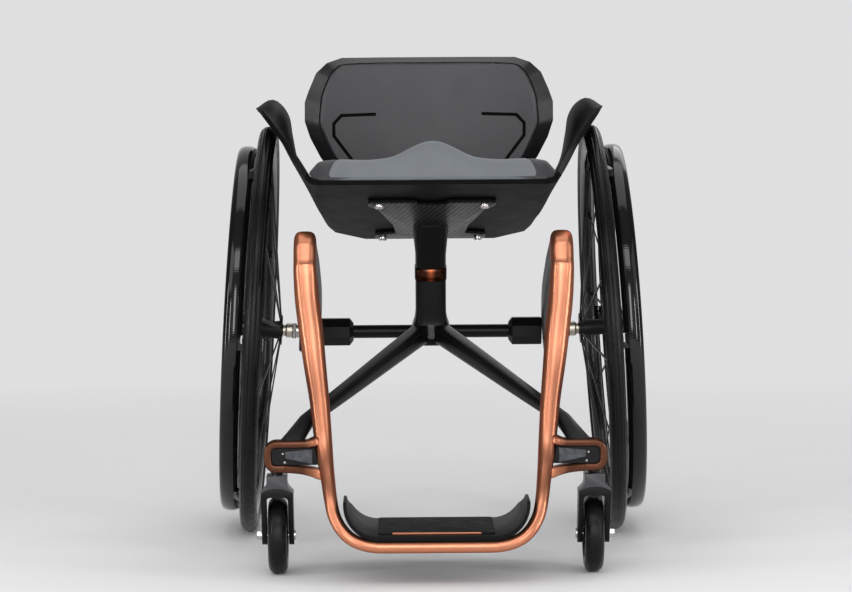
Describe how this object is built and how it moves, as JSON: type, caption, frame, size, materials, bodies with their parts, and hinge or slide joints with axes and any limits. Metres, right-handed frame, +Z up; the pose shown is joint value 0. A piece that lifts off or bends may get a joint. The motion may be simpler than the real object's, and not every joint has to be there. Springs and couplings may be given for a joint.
{
  "type": "rigid lightweight wheelchair",
  "caption": "Rigid lightweight wheelchair with a copper front frame, cambered spoked wheels with handrims, swivelling casters, a bucket seat on a post and a folding back.",
  "frame": {"origin": "on the floor, under the middle of the chair's length and width", "axes": "+Z up, -Y the way the sitter faces, +X the sitter's left"},
  "size_m": [0.6076, 0.8587, 0.687],
  "materials": {
    "back_cover": "satin charcoal stretch cover",
    "carbon_twill": "clear coated carbon twill",
    "copper_paint": "satin metallic copper lacquer",
    "cushion_cover": "matte mid grey cover",
    "gloss_carbon": "polished black carbon composite",
    "grey_crown": "satin dark grey",
    "grey_lens": "pale grey moulding",
    "grip_rubber": "matte black grip sheet",
    "light_alloy": "bare turned alloy",
    "polished_steel": "polished steel",
    "satin_black": "satin black carbon composite",
    "seat_plastic": "satin black moulding",
    "tyre_rubber": "matte black rubber"
  },
  "bodies": {
    "chair_frame": {"front_frame": "copper_paint", "base_frame": "satin_black", "hub_insert": "grey_lens", "axle_tube": "satin_black", "post_collar": "copper_paint", "footplate": "satin_black", "footplate_grip": "grip_rubber", "footplate_trim": "copper_paint", "side_arm_left": "satin_black", "side_arm_right": "satin_black", "axle_clamp_left": "satin_black", "axle_clamp_right": "satin_black", "caster_housing_left": "satin_black", "caster_housing_right": "satin_black", "side_lens_left": "grey_lens", "side_lens_right": "grey_lens", "stem_bearing_left": "polished_steel", "stem_bearing_right": "polished_steel", "axle_receiver_left": "polished_steel", "axle_receiver_right": "polished_steel", "axle_cone_left": "light_alloy", "axle_cone_right": "light_alloy", "quick_release_axle_left": "polished_steel", "quick_release_axle_right": "polished_steel"},
    "seat": {"seat_post": "satin_black", "mount_plate": "carbon_twill", "seat_shell": "seat_plastic", "cushion": "cushion_cover", "back_hinge_pin": "polished_steel", "seat_bolt_front_left": "polished_steel", "seat_bolt_front_right": "polished_steel", "seat_bolt_rear_left": "polished_steel", "seat_bolt_rear_right": "polished_steel", "back_bracket_left": "satin_black", "back_bracket_right": "satin_black"},
    "back": {"back_shell": "seat_plastic", "back_pad": "back_cover"},
    "left_wheel": {"tyre_left": "tyre_rubber", "rim_left": "gloss_carbon", "wheel_hub_left": "satin_black", "handrim_left": "gloss_carbon"},
    "left_button": {"release_button_left": "light_alloy"},
    "left_caster_fork": {"caster_fork_left": "satin_black", "caster_crown_left": "grey_crown", "caster_stem_left": "polished_steel", "caster_axle_left": "polished_steel"},
    "left_caster_wheel": {"caster_tyre_left": "tyre_rubber", "caster_hub_left": "satin_black"},
    "right_wheel": {"tyre_right": "tyre_rubber", "rim_right": "gloss_carbon", "wheel_hub_right": "satin_black", "handrim_right": "gloss_carbon"},
    "right_button": {"release_button_right": "light_alloy"},
    "right_caster_fork": {"caster_fork_right": "satin_black", "caster_crown_right": "grey_crown", "caster_stem_right": "polished_steel", "caster_axle_right": "polished_steel"},
    "right_caster_wheel": {"caster_tyre_right": "tyre_rubber", "caster_hub_right": "satin_black"}
  },
  "joints": [
    {"name": "left_wheel_spin", "type": "hinge", "parent": "chair_frame", "child": "left_wheel", "pos_m": [0.2484, 0.1353, 0.29369], "axis": [0.9984, 0, 0.0558], "continuous": true},
    {"name": "left_button_press", "type": "slide", "parent": "chair_frame", "child": "left_button", "axis": [-0.9984, 0, -0.0558], "range_m": [0, 0.003], "stiffness_N_per_m": 400},
    {"name": "left_caster_swivel", "type": "hinge", "parent": "chair_frame", "child": "left_caster_fork", "pos_m": [0.2095, -0.3267, 0.12], "axis": [0, 0, 1], "continuous": true},
    {"name": "left_caster_roll", "type": "hinge", "parent": "left_caster_fork", "child": "left_caster_wheel", "pos_m": [0.2095, -0.2967, 0.05096], "axis": [1, 0, 0], "continuous": true},
    {"name": "right_wheel_spin", "type": "hinge", "parent": "chair_frame", "child": "right_wheel", "pos_m": [-0.2484, 0.1353, 0.29369], "axis": [0.9984, 0, -0.0558], "continuous": true},
    {"name": "right_button_press", "type": "slide", "parent": "chair_frame", "child": "right_button", "axis": [0.9984, 0, -0.0558], "range_m": [0, 0.003], "stiffness_N_per_m": 400},
    {"name": "right_caster_swivel", "type": "hinge", "parent": "chair_frame", "child": "right_caster_fork", "pos_m": [-0.2095, -0.3267, 0.12], "axis": [0, 0, 1], "continuous": true},
    {"name": "right_caster_roll", "type": "hinge", "parent": "right_caster_fork", "child": "right_caster_wheel", "pos_m": [-0.2095, -0.2967, 0.05096], "axis": [1, 0, 0], "continuous": true},
    {"name": "seat_height", "type": "slide", "parent": "chair_frame", "child": "seat", "axis": [0, -0.1392, 0.9903], "range_m": [0, 0.04]},
    {"name": "back_fold", "type": "hinge", "parent": "seat", "child": "back", "pos_m": [0, 0.2583, 0.47], "axis": [1, 0, 0], "range_deg": [0, 45]}
  ]
}
